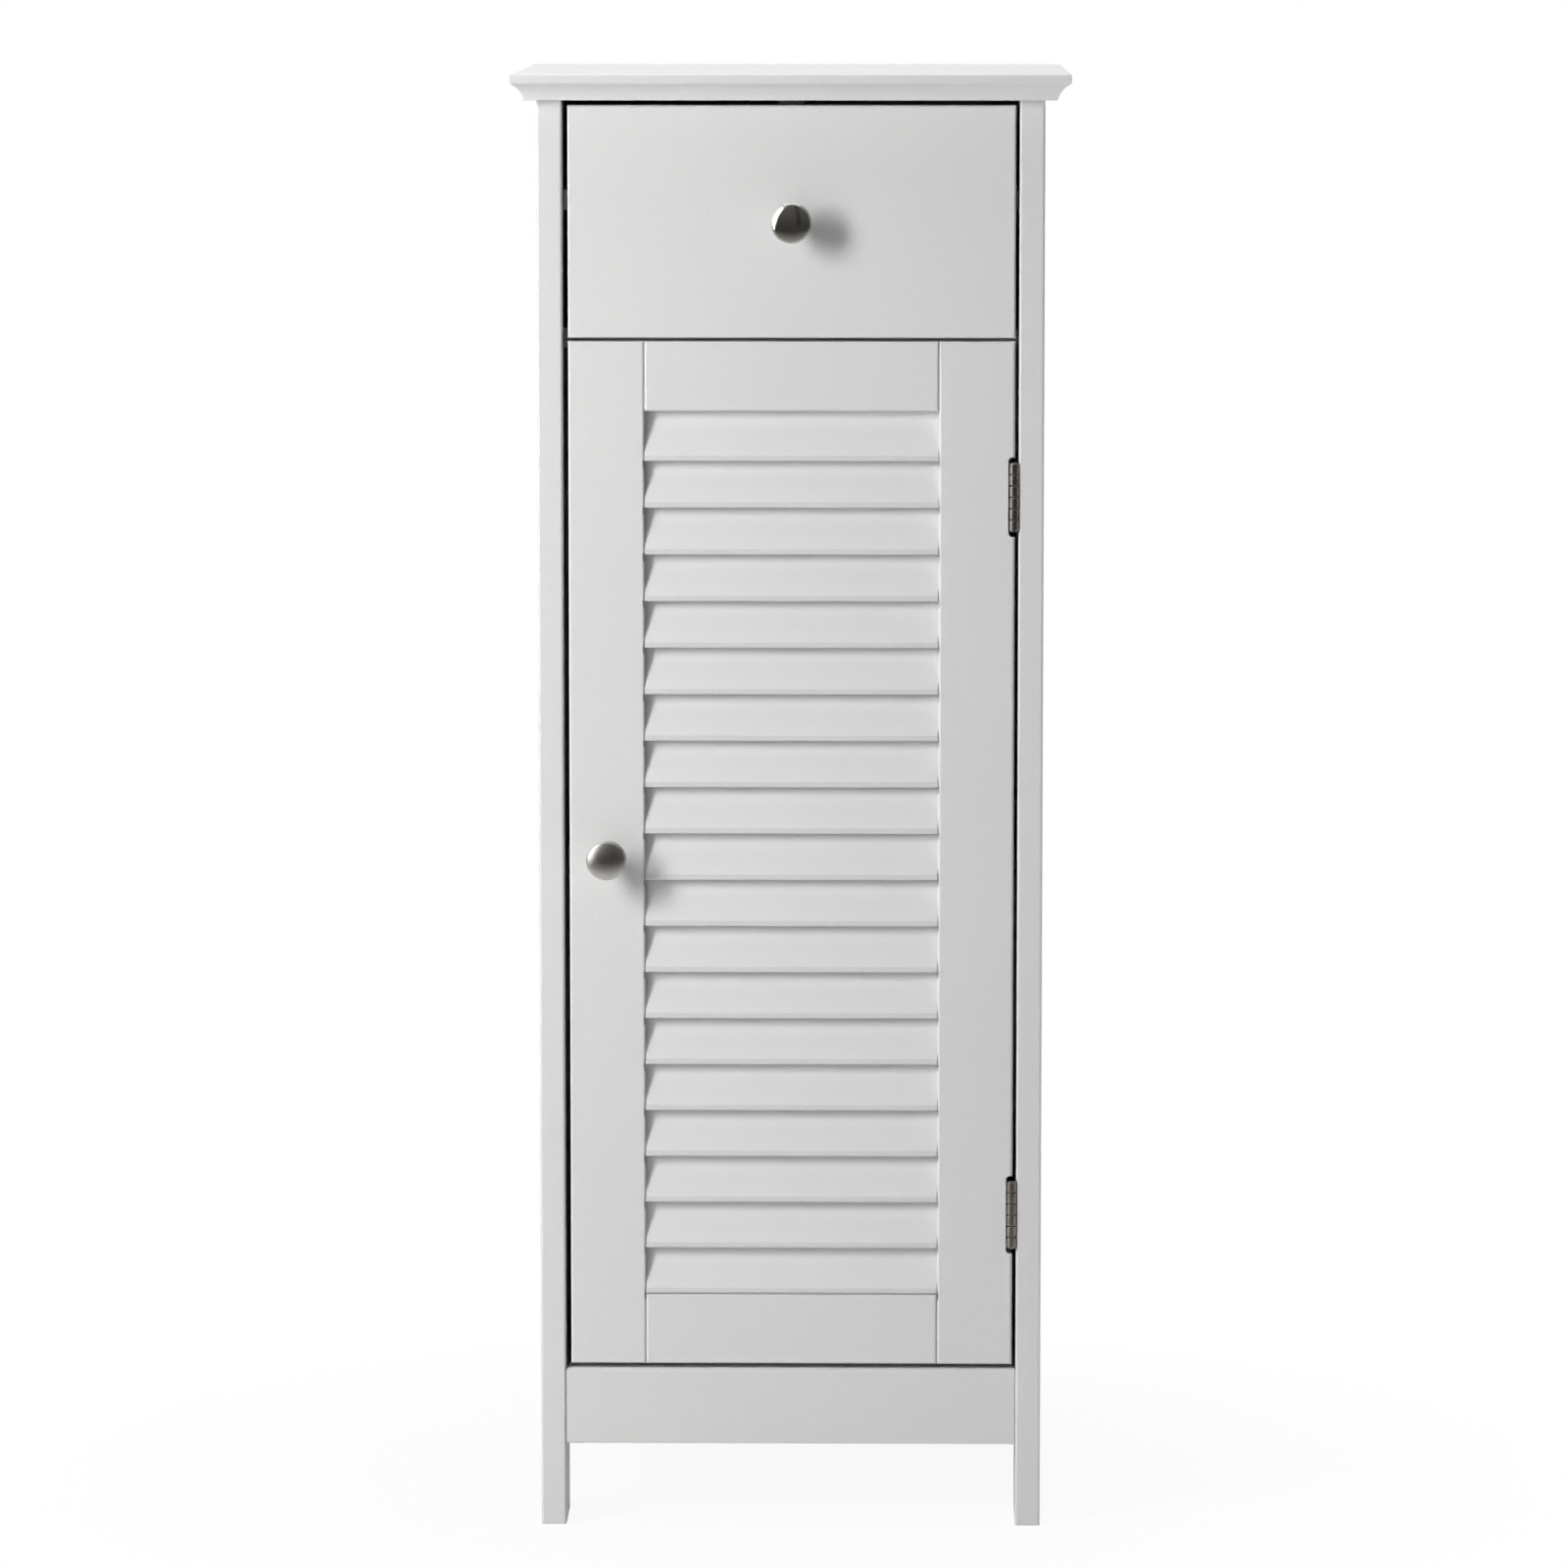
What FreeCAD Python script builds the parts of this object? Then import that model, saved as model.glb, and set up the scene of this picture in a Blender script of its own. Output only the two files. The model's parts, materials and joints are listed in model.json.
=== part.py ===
"""Louvred door cabinet: a narrow bathroom floor cabinet with one drawer above one louvred door.

Millimetres. +Z is up, the front faces -Y and +X is to the right as one faces the front.
The origin is at the middle of the bounding box's bottom face, on the floor.
"""
import FreeCAD, Part
import math
import os

Vec = FreeCAD.Vector
ALONG_X = Vec(1, 0, 0)
ALONG_Y = Vec(0, 1, 0)
ALONG_Z = Vec(0, 0, 1)

# ---------------------------------------------------------------- driving dimensions
# Carcass
cabinet_height = 870.0
body_width = 300.0
body_depth = 285.0
side_thickness = 15.0
side_arris = 1.5
board_arris = 1.0
leg_depth = 48.0
leg_arch_rise = 2.5
leg_arch_radius = 12.0

# Top board, with a small flat band over a cove on the front and both sides
top_thickness = 15.5
top_overhang = 15.0
top_band = 5.5
top_arris = 1.0
band_round = 1.5
cove_inset = 8.0
cove_foot = 0.7
cove_sag = 1.3

# Panels inside the carcass
bottom_thickness = 15.0
divider_thickness = 12.0
divider_setback = 2.0
shelf_thickness = 12.0
shelf_height = 301.6
shelf_front_setback = 10.0
shelf_side_gap = 1.0
shelf_back_gap = 2.0
back_thickness = 3.0
back_inset = 8.0
back_groove_depth = 5.0

# Apron under the door
apron_thickness = 15.0
apron_height = 46.0
apron_clearance_below = 49.5
apron_recess = 1.0
apron_arris = 3.0
apron_end_arris = 0.8

# Inset fronts
front_thickness = 15.0
gap_left = 3.3
gap_right = 2.2
gap_over_drawer = 3.0
gap_drawer_door = 2.0
gap_under_door = 3.0
drawer_front_height = 137.0
drawer_front_arris = 1.2

# Louvred door
stile_width = 45.0
top_rail_width = 41.3
bottom_rail_width = 42.3
door_arris = 1.5
slat_count = 19
slat_thickness = 5.0
slat_overlap = 5.0
slat_back_cover = 1.0
slat_setback = 0.25
slat_nose_height = 3.2
slat_round = 0.7
slat_foot_gap = 0.5
slat_head_reveal = 29.6
slat_end_play = 0.3
slat_shoulder_gap = 0.2
tongue_setback = 1.2
mortise_depth = 6.0
mortise_clearance = 0.15
tail_length = 4.6
tail_width = 3.8
tail_depth = 1.2

# Drawer box
drawer_side_thickness = 12.0
drawer_side_gap = 3.0
drawer_box_lift = 8.0
drawer_box_back_gap = 9.0
drawer_back_thickness = 12.0
drawer_bottom_thickness = 3.0
drawer_bottom_lift = 8.0
drawer_bottom_groove = 5.0
drawer_fixing_shares = (0.25, 0.87)

# Drawer runners and stop
runner_height = 12.0
runner_height_share = 0.62
runner_back_gap = 12.7
runner_play = 0.3
runner_arris = 0.8
stop_width = 16.0
stop_length = 20.0
stop_height = 13.0
stop_setback = 3.0
stop_catch = 7.5
stop_clearance = 4.5
stop_round = 1.5

# Knobs
knob_projection = 24.0
knob_radius = 12.1
knob_rim_height = 2.2
knob_groove_width = 0.6
knob_cap_radius = 11.3
knob_cap_edge = 0.7
knob_dome_curve = 21.4
knob_neck_radius = 5.0
knob_base_radius = 7.5
knob_base_height = 2.0
knob_base_taper = 0.6
knob_screw_radius = 2.0
knob_screw_grip = 9.0
knob_screw_hole_play = 0.25
knob_screw_head_radius = 4.0
knob_screw_head_height = 2.4
knob_screw_head_round = 0.9
knob_screw_slot = 1.0

# Butt hinges
hinge_length = 40.6
hinge_knuckles = 6
hinge_radius = 3.0
hinge_pin_radius = 1.1
hinge_pin_clearance = 0.05
hinge_pin_head_radius = 2.1
hinge_pin_head_height = 0.3
hinge_knuckle_gap = 0.4
hinge_knuckle_round = 0.45
hinge_leaf_thickness = 1.0
hinge_leaf_width = 10.7
hinge_sink = 1.0
hinge_offset = 0.5
hinge_clearance = 0.3
hinge_notch_margin = 3.3
hinge_notch_round = 2.4
hinge_inset_top = 71.9
hinge_inset_bottom = 70.7
hinge_screw_spacing = 27.0

# Wood screws, all of one kind
screw_radius = 1.5
screw_length = 12.0
screw_head_radius = 2.7
screw_head_height = 1.2
screw_slot_width = 0.6
screw_slot_depth = 0.6
screw_bite = 10.0
strike_screw_length = 10.0
back_screw_length = 28.0

# Knock-down fittings
cam_radius = 7.5
cam_height = 9.0
cam_backset = 24.0
cam_channel_radius = 3.6
bolt_radius = 2.5
bolt_neck_radius = 1.75
bolt_head_radius = 3.2
bolt_head_length = 3.0
bolt_thread_length = 9.0
bolt_bore_radius = 3.5
dowel_radius = 3.0
dowel_half_length = 11.0
fitting_inset = 38.0
dowel_offset = 32.0
dowel_shares = (0.28, 0.72)

# Shelf pins and their holes
pin_radius = 2.5
pin_hole_depth = 8.0
pin_reach = 7.5
pin_collar_radius = 4.0
pin_collar_height = 0.8
pin_inset = 45.0
pin_row_spacing = 32.0

# Magnetic catch behind the door's free edge
catch_width = 40.0
catch_depth = 13.0
catch_height = 13.0
catch_wall = 2.5
catch_lug = 9.0
catch_lug_height = 3.0
catch_gap = 0.3
catch_screw_bite = 8.0
magnet_proud = 0.5
strike_width = 30.0
strike_height = 13.0
strike_thickness = 1.0
strike_round = 2.0

# ---------------------------------------------------------------- levels and planes
overall_depth = body_depth + max(top_overhang, knob_projection)
back_y = overall_depth / 2
front_y = back_y - body_depth
outer_x = body_width / 2
inner_x = outer_x - side_thickness
top_underside = cabinet_height - top_thickness

fronts_back_y = front_y + front_thickness
fronts_left_x = -inner_x + gap_left
fronts_right_x = inner_x - gap_right

drawer_front_top = top_underside - gap_over_drawer
drawer_front_bottom = drawer_front_top - drawer_front_height
door_top = drawer_front_bottom - gap_drawer_door
apron_top = apron_clearance_below + apron_height
door_bottom = apron_top + gap_under_door
door_middle = (door_top + door_bottom) / 2
bottom_underside = apron_top - bottom_thickness
bottom_middle = bottom_underside + bottom_thickness / 2
leg_arch_top = apron_clearance_below + leg_arch_rise

divider_front_y = fronts_back_y + divider_setback
divider_middle = (door_top + drawer_front_bottom) / 2
divider_top = divider_middle + divider_thickness / 2
divider_underside = divider_middle - divider_thickness / 2

back_panel_back_y = back_y - back_inset
back_panel_front_y = back_panel_back_y - back_thickness
apron_front_y = front_y + apron_recess
apron_back_y = apron_front_y + apron_thickness

opening_top = door_top - top_rail_width
opening_bottom = door_bottom + bottom_rail_width
opening_left_x = fronts_left_x + stile_width
opening_right_x = fronts_right_x - stile_width
slat_rise = opening_top - opening_bottom - slat_foot_gap - slat_head_reveal
slat_pitch = slat_rise / (slat_count - 1)
slat_depth = front_thickness - slat_setback - slat_back_cover
slat_height = slat_pitch + slat_overlap
slat_tilt = math.atan((slat_depth - slat_thickness) / (slat_height - slat_nose_height))

box_left_x = -inner_x + drawer_side_gap
box_right_x = inner_x - drawer_side_gap
box_bottom = divider_top + drawer_box_lift
box_top = top_underside - stop_height - stop_clearance
box_height = box_top - box_bottom
box_back_y = back_panel_front_y - drawer_box_back_gap
drawer_back_top = top_underside - stop_height + stop_catch
drawer_back_front_y = box_back_y - drawer_back_thickness
drawer_middle = (drawer_front_top + drawer_front_bottom) / 2
drawer_bottom_underside = box_bottom + drawer_bottom_lift

axis_x = fronts_right_x - hinge_offset
axis_y = front_y + hinge_sink
hinge_levels = {"upper": door_top - hinge_inset_top - hinge_length / 2,
                "lower": door_bottom + hinge_inset_bottom + hinge_length / 2}

fitting_rows = (front_y + fitting_inset, back_y - fitting_inset - back_inset)
dowel_rows = (fitting_rows[0] + dowel_offset, fitting_rows[1] - dowel_offset)
pin_rows = (front_y + front_thickness + pin_inset, back_y - back_inset - pin_inset)
shelf_underside = apron_top + shelf_height
pin_level = shelf_underside - pin_radius


# ---------------------------------------------------------------- helpers
def block(x_low, x_high, y_low, y_high, z_low, z_high):
    """A box between three pairs of planes."""
    return Part.makeBox(x_high - x_low, y_high - y_low, z_high - z_low, Vec(x_low, y_low, z_low))


def rod(radius, start, direction, length):
    """A round bar from a start point."""
    return Part.makeCylinder(radius, length, start, direction)


def joined(pieces):
    """Several solids fused into one."""
    whole = pieces[0]
    for piece in pieces[1:]:
        whole = whole.fuse(piece)
    return whole.removeSplitter()


def without(body, cutters):
    """A body with every cutter taken out of it."""
    for cutter in cutters:
        body = body.cut(cutter)
    return body


def eased(shape, radius, wanted):
    """Rounds each edge for which wanted(box of the edge) is true."""
    edges = [edge for edge in shape.Edges if wanted(edge.BoundBox)]
    return shape.makeFillet(radius, edges)


def near(value, target):
    return abs(value - target) < 1e-4


def on_y(y):
    """Picks the edges that lie in the plane at y."""
    return lambda box: near(box.YMin, y) and near(box.YMax, y)


def upright_on_y(y):
    """Picks the vertical edges that lie in the plane at y."""
    return lambda box: on_y(y)(box) and near(box.XMin, box.XMax)


def bar_along_x(points, x_low, x_high):
    """A prism along X whose outline is given as (y, z) points."""
    corners = [Vec(x_low, y, z) for y, z in points]
    face = Part.Face(Part.makePolygon(corners + corners[:1]))
    return face.extrude(ALONG_X * (x_high - x_low))


def wood_screw(mouth, inward, length=screw_length):
    """A countersunk wood screw whose head is flush with the point mouth, and the hole that it fills."""
    head = Part.makeCone(screw_head_radius, screw_radius, screw_head_height, mouth, inward)
    shank = rod(screw_radius, mouth + inward * screw_head_height, inward, length - screw_head_height)
    solid = joined([head, shank])
    across = inward.cross(ALONG_X if abs(inward.x) < 0.5 else ALONG_Y)
    other = inward.cross(across)
    reach = screw_head_radius * 0.7
    slots = []
    for long_way, short_way in ((across, other), (other, across)):
        corner = mouth - long_way * reach - short_way * (screw_slot_width / 2)
        far = corner + long_way * (2 * reach) + short_way * screw_slot_width + inward * screw_slot_depth
        slots.append(block(min(corner.x, far.x), max(corner.x, far.x), min(corner.y, far.y),
                           max(corner.y, far.y), min(corner.z, far.z), max(corner.z, far.z)))
    return without(solid, slots), solid


# ---------------------------------------------------------------- knock-down fittings
def cam_fitting(seat, inward, disc_mouth, disc_inward):
    """A bolt, its cam disc, the hole for the bolt's thread, and the bore and pocket beyond the joint.

    seat is where the bolt crosses the joint, and inward points from the threaded panel into the one
    with the cam. The disc shows at disc_mouth and reaches along disc_inward.
    """
    head_start = seat + inward * (cam_backset - bolt_head_length)
    thread = rod(bolt_radius, seat - inward * bolt_thread_length, inward, bolt_thread_length)
    neck = rod(bolt_neck_radius, seat, inward, cam_backset - bolt_head_length)
    head = rod(bolt_head_radius, head_start, inward, bolt_head_length)
    pocket = rod(cam_radius, disc_mouth, disc_inward, cam_height)
    bore = rod(bolt_bore_radius, seat, inward, cam_backset)
    channel = rod(cam_channel_radius, seat, inward, cam_backset + cam_channel_radius)
    return joined([thread, neck, head]), pocket.cut(channel), [thread], [bore, pocket]


def level_cam(side, y, level, underside):
    """The cam fitting where a level panel meets a side panel; its disc shows below the panel."""
    disc_mouth = Vec(side * (inner_x - cam_backset), y, underside)
    return cam_fitting(Vec(side * inner_x, y, level), Vec(-side, 0, 0), disc_mouth, ALONG_Z)


def upright_cam(side, y):
    """The cam fitting where the top board meets a side panel; its disc shows inside the cabinet."""
    seat = Vec(side * (inner_x + side_thickness / 2), y, top_underside)
    disc_mouth = Vec(side * inner_x, y, top_underside - cam_backset)
    return cam_fitting(seat, -ALONG_Z, disc_mouth, Vec(side, 0, 0))


def level_dowel(side, y, level):
    """A dowel across the joint of a level panel and a side panel."""
    start = Vec(side * inner_x - dowel_half_length, y, level)
    return rod(dowel_radius, start, ALONG_X, 2 * dowel_half_length)


corners = [(side, y) for side in (-1, 1) for y in fitting_rows]
bottom_cams = [level_cam(side, y, bottom_middle, bottom_underside) for side, y in corners]
divider_cams = [level_cam(side, y, divider_middle, divider_underside) for side, y in corners]
top_cams = [upright_cam(side, y) for side, y in corners]
all_cams = bottom_cams + divider_cams + top_cams

apron_middle_y = (apron_front_y + apron_back_y) / 2
apron_dowel_levels = [apron_clearance_below + apron_height * share for share in dowel_shares]
carcass_dowels = [level_dowel(side, y, bottom_middle) for side in (-1, 1) for y in dowel_rows]
carcass_dowels += [level_dowel(side, y, divider_middle) for side in (-1, 1) for y in dowel_rows]
carcass_dowels += [level_dowel(side, apron_middle_y, level) for side in (-1, 1)
                   for level in apron_dowel_levels]


# ---------------------------------------------------------------- hinges
def knuckle_spans(level):
    """The (bottom, top) of each knuckle of the hinge whose middle is at level, from the top down."""
    step = hinge_length / hinge_knuckles
    top = level + hinge_length / 2
    return [(top - (n + 1) * step + hinge_knuckle_gap / 2, top - n * step - hinge_knuckle_gap / 2)
            for n in range(hinge_knuckles)]


def hinge_leaf(level, plate, own_first):
    """One leaf: its plate, every other knuckle rolled round the pin, and room for the other leaf's."""
    spans = knuckle_spans(level)
    own = spans[own_first::2]
    other = spans[1 - own_first::2]
    rings = [rod(hinge_radius, Vec(axis_x, axis_y, low), ALONG_Z, high - low) for low, high in own]
    rings = [eased(ring, hinge_knuckle_round, lambda box: near(box.ZMin, box.ZMax)) for ring in rings]
    leaf = joined([plate] + rings)
    swept = hinge_radius + hinge_clearance
    rooms = [rod(swept, Vec(axis_x, axis_y, low - hinge_knuckle_gap), ALONG_Z,
                 high - low + 2 * hinge_knuckle_gap) for low, high in other]
    bore = rod(hinge_pin_radius + hinge_pin_clearance, Vec(axis_x, axis_y, level - hinge_length), ALONG_Z,
               2 * hinge_length)
    return without(leaf, rooms + [bore])


def hinge_plate(x_low, level):
    """The flat of a leaf, from the pin's plane back along the edge that it is screwed to."""
    return block(x_low, x_low + hinge_leaf_thickness, axis_y, axis_y + hinge_leaf_width + hinge_radius,
                 level - hinge_length / 2, level + hinge_length / 2)


def hinge_screws(x, inward, level):
    """Both screws of one leaf, and their holes."""
    y = axis_y + hinge_radius + hinge_leaf_width * 0.55
    rows = (level - hinge_screw_spacing / 2, level + hinge_screw_spacing / 2)
    return [wood_screw(Vec(x, y, z), inward) for z in rows]


cabinet_leaf_x = inner_x - hinge_leaf_thickness
door_leaf_x = axis_x - hinge_radius - hinge_clearance
cabinet_hinge_screws = []
door_hinge_screws = []
for hinge_level in hinge_levels.values():
    cabinet_hinge_screws += hinge_screws(cabinet_leaf_x, ALONG_X, hinge_level)
    door_hinge_screws += hinge_screws(door_leaf_x + hinge_leaf_thickness, -ALONG_X, hinge_level)


def cabinet_leaf(level):
    leaf = hinge_leaf(level, hinge_plate(cabinet_leaf_x, level), 0)
    return without(leaf, [hole for _, hole in cabinet_hinge_screws])


def door_leaf(level):
    leaf = hinge_leaf(level, hinge_plate(door_leaf_x, level), 1)
    return without(leaf, [hole for _, hole in door_hinge_screws])


def hinge_pin(level):
    """A pin as long as the knuckles, held by its domed heads."""
    shaft = rod(hinge_pin_radius, Vec(axis_x, axis_y, level - hinge_length / 2), ALONG_Z, hinge_length)
    heads = [rod(hinge_pin_head_radius, Vec(axis_x, axis_y, level + way.z * hinge_length / 2), way,
                 hinge_pin_head_height) for way in (ALONG_Z, -ALONG_Z)]
    return joined([shaft] + heads)


def barrel_seat(level):
    """The shallow hollow in the side panel's arris that clears the barrel."""
    half = hinge_length / 2 + hinge_clearance
    return rod(hinge_radius + hinge_clearance, Vec(axis_x, axis_y, level - half), ALONG_Z, 2 * half)


def hinge_notch(level):
    """The cut in the door's edge that takes the barrel and the door leaf, with rounded inner corners."""
    half = hinge_length / 2 + hinge_notch_margin
    cut = block(door_leaf_x, fronts_right_x + 1, front_y - 1, fronts_back_y + 1, level - half, level + half)
    return eased(cut, hinge_notch_round, lambda box: near(box.XMin, door_leaf_x)
                 and near(box.XMax, door_leaf_x) and near(box.ZMin, box.ZMax))


# ---------------------------------------------------------------- small fixings of the carcass
runner_engagement = drawer_side_thickness / 2
runner_thickness = drawer_side_gap + runner_engagement
runner_front_y = fronts_back_y + runner_play
runner_back_y = back_panel_front_y - runner_back_gap
runner_level = box_bottom + box_height * runner_height_share


def runner_screws(side):
    """Three screws through a runner into its side panel."""
    face_x = side * (inner_x - runner_thickness)
    rows = [runner_front_y + (runner_back_y - runner_front_y) * share for share in (0.1, 0.5, 0.9)]
    length = runner_thickness + screw_bite
    return [wood_screw(Vec(face_x, y, runner_level), Vec(side, 0, 0), length) for y in rows]


stop_front_y = fronts_back_y + stop_setback
stop_back_y = stop_front_y + stop_length
stop_screw = wood_screw(Vec(0, (stop_front_y + stop_back_y) / 2, top_underside - stop_height), ALONG_Z,
                        stop_height + screw_bite)

catch_middle_x = (fronts_left_x + opening_left_x) / 2
catch_front_y = fronts_back_y + strike_thickness + catch_gap + magnet_proud
catch_bottom = divider_underside - catch_height
catch_screws = []
for catch_side in (-1, 1):
    lug_x = catch_middle_x + catch_side * (catch_width / 2 - catch_lug / 2)
    lug_mouth = Vec(lug_x, catch_front_y + catch_depth / 2, divider_underside - catch_lug_height)
    catch_screws.append(wood_screw(lug_mouth, ALONG_Z, catch_lug_height + catch_screw_bite))

strike_level = (catch_bottom + divider_underside) / 2
strike_screw = wood_screw(Vec(catch_middle_x, fronts_back_y + strike_thickness, strike_level), -ALONG_Y,
                          strike_screw_length)

left_runner_screws = runner_screws(-1)
right_runner_screws = runner_screws(1)
cabinet_screws = cabinet_hinge_screws + left_runner_screws + right_runner_screws
cabinet_screws += catch_screws + [stop_screw]
door_screws = door_hinge_screws + [strike_screw]


# ---------------------------------------------------------------- carcass
def top_profile():
    """The edge of the top board as (distance in from the edge, height above the underside)."""
    band_bottom = top_thickness - top_band
    start = Vec(0, band_bottom, 0)
    end = Vec(cove_inset, cove_foot, 0)
    chord = end - start
    middle = (start + end) * 0.5 + Vec(-chord.y, chord.x, 0).normalize() * cove_sag
    return start, middle, end


def top_board():
    """A board whose front and side edges carry a flat band over a cove."""
    start, middle, end = top_profile()
    half_x = outer_x + top_overhang
    board_front_y = front_y - top_overhang

    def slab(place, wide, direction, reach):
        """Extrudes the profile, laid out by place(inset, height), along one direction."""
        def path(near_edge):
            return [place(near_edge, 0, top_thickness), place(near_edge, start.x, start.y),
                    place(near_edge, middle.x, middle.y), place(near_edge, end.x, end.y),
                    place(near_edge, end.x, 0)]
        first = path(0)
        lines = [Part.LineSegment(first[0], first[1]), Part.Arc(first[1], first[2], first[3]),
                 Part.LineSegment(first[3], first[4])]
        if wide:
            second = path(1)
            lines += [Part.LineSegment(first[4], second[4]), Part.LineSegment(second[4], second[3]),
                      Part.Arc(second[3], second[2], second[1]), Part.LineSegment(second[1], second[0]),
                      Part.LineSegment(second[0], first[0])]
        else:
            far_low = place(1, 0, 0)
            far_high = place(1, 0, top_thickness)
            lines += [Part.LineSegment(first[4], far_low), Part.LineSegment(far_low, far_high),
                      Part.LineSegment(far_high, first[0])]
        wire = Part.Wire([line.toShape() for line in lines])
        return Part.Face(wire).extrude(direction * reach)

    def across(edge, inset, height):
        return Vec(half_x - inset if edge else inset - half_x, board_front_y, top_underside + height)

    def lengthways(edge, inset, height):
        return Vec(-half_x, back_y if edge else board_front_y + inset, top_underside + height)

    sides = slab(across, True, ALONG_Y, back_y - board_front_y)
    front = slab(lengthways, False, ALONG_X, 2 * half_x)
    board = sides.common(front)

    def moulded_at(level):
        """Picks the front and side edges at one level."""
        return lambda box: (near(box.ZMin, level) and near(box.ZMax, level)
                            and not (near(box.YMin, back_y) and near(box.YMax, back_y)))

    board = eased(board, top_arris, moulded_at(cabinet_height))
    board = eased(board, band_round, moulded_at(cabinet_height - top_band))
    groove = block(-inner_x - back_groove_depth, inner_x + back_groove_depth, back_panel_front_y,
                   back_panel_back_y, top_underside, top_underside + back_groove_depth)
    holes = [hole for _, _, holes_there, _ in top_cams for hole in holes_there]
    return without(board, [groove, stop_screw[1]] + holes)


def leg_arch(side):
    """The cut below a side panel that leaves a front and a back leg."""
    x_low = min(side * (inner_x - 1), side * (outer_x + 1))
    cut = block(x_low, x_low + side_thickness + 2, front_y + leg_depth, back_y - leg_depth, -leg_arch_top,
                leg_arch_top)
    return eased(cut, leg_arch_radius,
                 lambda box: near(box.ZMin, leg_arch_top) and near(box.YMin, box.YMax))


def pin_holes(side):
    """The rows of shelf-pin holes in one side panel: the shelf can stand at three levels."""
    levels = [pin_level + step * pin_row_spacing for step in (-1, 0, 1)]
    return [rod(pin_radius, Vec(side * inner_x, y, z), Vec(side, 0, 0), pin_hole_depth)
            for y in pin_rows for z in levels]


def side_panel(side):
    """A side panel that runs down into two legs, with its grooves and holes on the inner face."""
    x_low = min(side * inner_x, side * outer_x)
    panel = block(x_low, x_low + side_thickness, front_y, back_y, 0, top_underside)
    panel = eased(panel, side_arris, upright_on_y(front_y))
    groove_x = min(side * inner_x, side * (inner_x + back_groove_depth))
    groove = block(groove_x, groove_x + back_groove_depth, back_panel_front_y, back_panel_back_y,
                   bottom_underside, top_underside)
    cutters = [leg_arch(side), groove] + pin_holes(side)
    for bolt_set in bottom_cams + divider_cams:
        cutters += bolt_set[2]
    for bolt_set in top_cams:
        cutters += bolt_set[3]
    cutters += carcass_dowels
    if side < 0:
        cutters += [hole for _, hole in left_runner_screws]
    else:
        cutters += [hole for _, hole in right_runner_screws + cabinet_hinge_screws]
        cutters += [barrel_seat(level) for level in hinge_levels.values()]
    return without(panel, cutters)


def bottom_panel():
    panel = block(-inner_x, inner_x, apron_back_y, back_panel_front_y, bottom_underside, apron_top)
    holes = [hole for cam in bottom_cams for hole in cam[3]]
    return without(panel, holes + carcass_dowels)


def divider_panel():
    panel = block(-inner_x, inner_x, divider_front_y, back_panel_front_y, divider_underside, divider_top)
    holes = [hole for cam in divider_cams for hole in cam[3]]
    return without(panel, holes + carcass_dowels + [hole for _, hole in catch_screws])


def apron():
    """The board between the front legs, with a well rounded upper arris."""
    board = block(-inner_x, inner_x, apron_front_y, apron_back_y, apron_clearance_below, apron_top)
    board = eased(board, apron_arris, lambda box: on_y(apron_front_y)(box) and near(box.ZMin, apron_top))
    board = eased(board, apron_end_arris, lambda box: on_y(apron_front_y)(box) and box.ZMax < apron_top - 1)
    return without(board, carcass_dowels)


def back_panel():
    return block(-inner_x - back_groove_depth, inner_x + back_groove_depth, back_panel_front_y,
                 back_panel_back_y, bottom_underside, top_underside + back_groove_depth)


def adjustable_shelf():
    shelf = block(-inner_x + shelf_side_gap, inner_x - shelf_side_gap, fronts_back_y + shelf_front_setback,
                  back_panel_front_y - shelf_back_gap, shelf_underside, shelf_underside + shelf_thickness)
    return eased(shelf, board_arris, on_y(fronts_back_y + shelf_front_setback))


def shelf_pins():
    pins = []
    for side in (-1, 1):
        for y in pin_rows:
            face = Vec(side * inner_x, y, pin_level)
            shaft = rod(pin_radius, face + Vec(side * pin_hole_depth, 0, 0), Vec(-side, 0, 0),
                        pin_hole_depth + pin_reach)
            collar = rod(pin_collar_radius, face, Vec(-side, 0, 0), pin_collar_height)
            pins.append(joined([shaft, collar]))
    return pins


def drawer_runners():
    """A hardwood strip on each side panel, on which the grooved drawer sides slide."""
    runners = []
    for side, screws in ((-1, left_runner_screws), (1, right_runner_screws)):
        x_low = min(side * inner_x, side * (inner_x - runner_thickness))
        strip = block(x_low, x_low + runner_thickness, runner_front_y, runner_back_y,
                      runner_level - runner_height / 2, runner_level + runner_height / 2)
        strip = eased(strip, runner_arris, lambda box: near(box.XMin, side * (inner_x - runner_thickness))
                      and near(box.XMin, box.XMax) and near(box.ZMin, box.ZMax))
        runners.append(without(strip, [hole for _, hole in screws]))
    return runners


def drawer_stop():
    """A block under the top board that meets the drawer's back when the drawer is pulled out."""
    body = block(-stop_width / 2, stop_width / 2, stop_front_y, stop_back_y, top_underside - stop_height,
                 top_underside)
    body = eased(body, stop_round, lambda box: near(box.ZMin, top_underside - stop_height)
                 and near(box.ZMax, top_underside - stop_height))
    return body.cut(stop_screw[1])


def catch_cavity():
    """The room for the magnet, open towards the door."""
    half = catch_width / 2 - catch_lug - catch_wall
    return block(catch_middle_x - half, catch_middle_x + half, catch_front_y,
                 catch_front_y + catch_depth - catch_wall, catch_bottom + catch_wall,
                 divider_underside - catch_wall)


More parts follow.
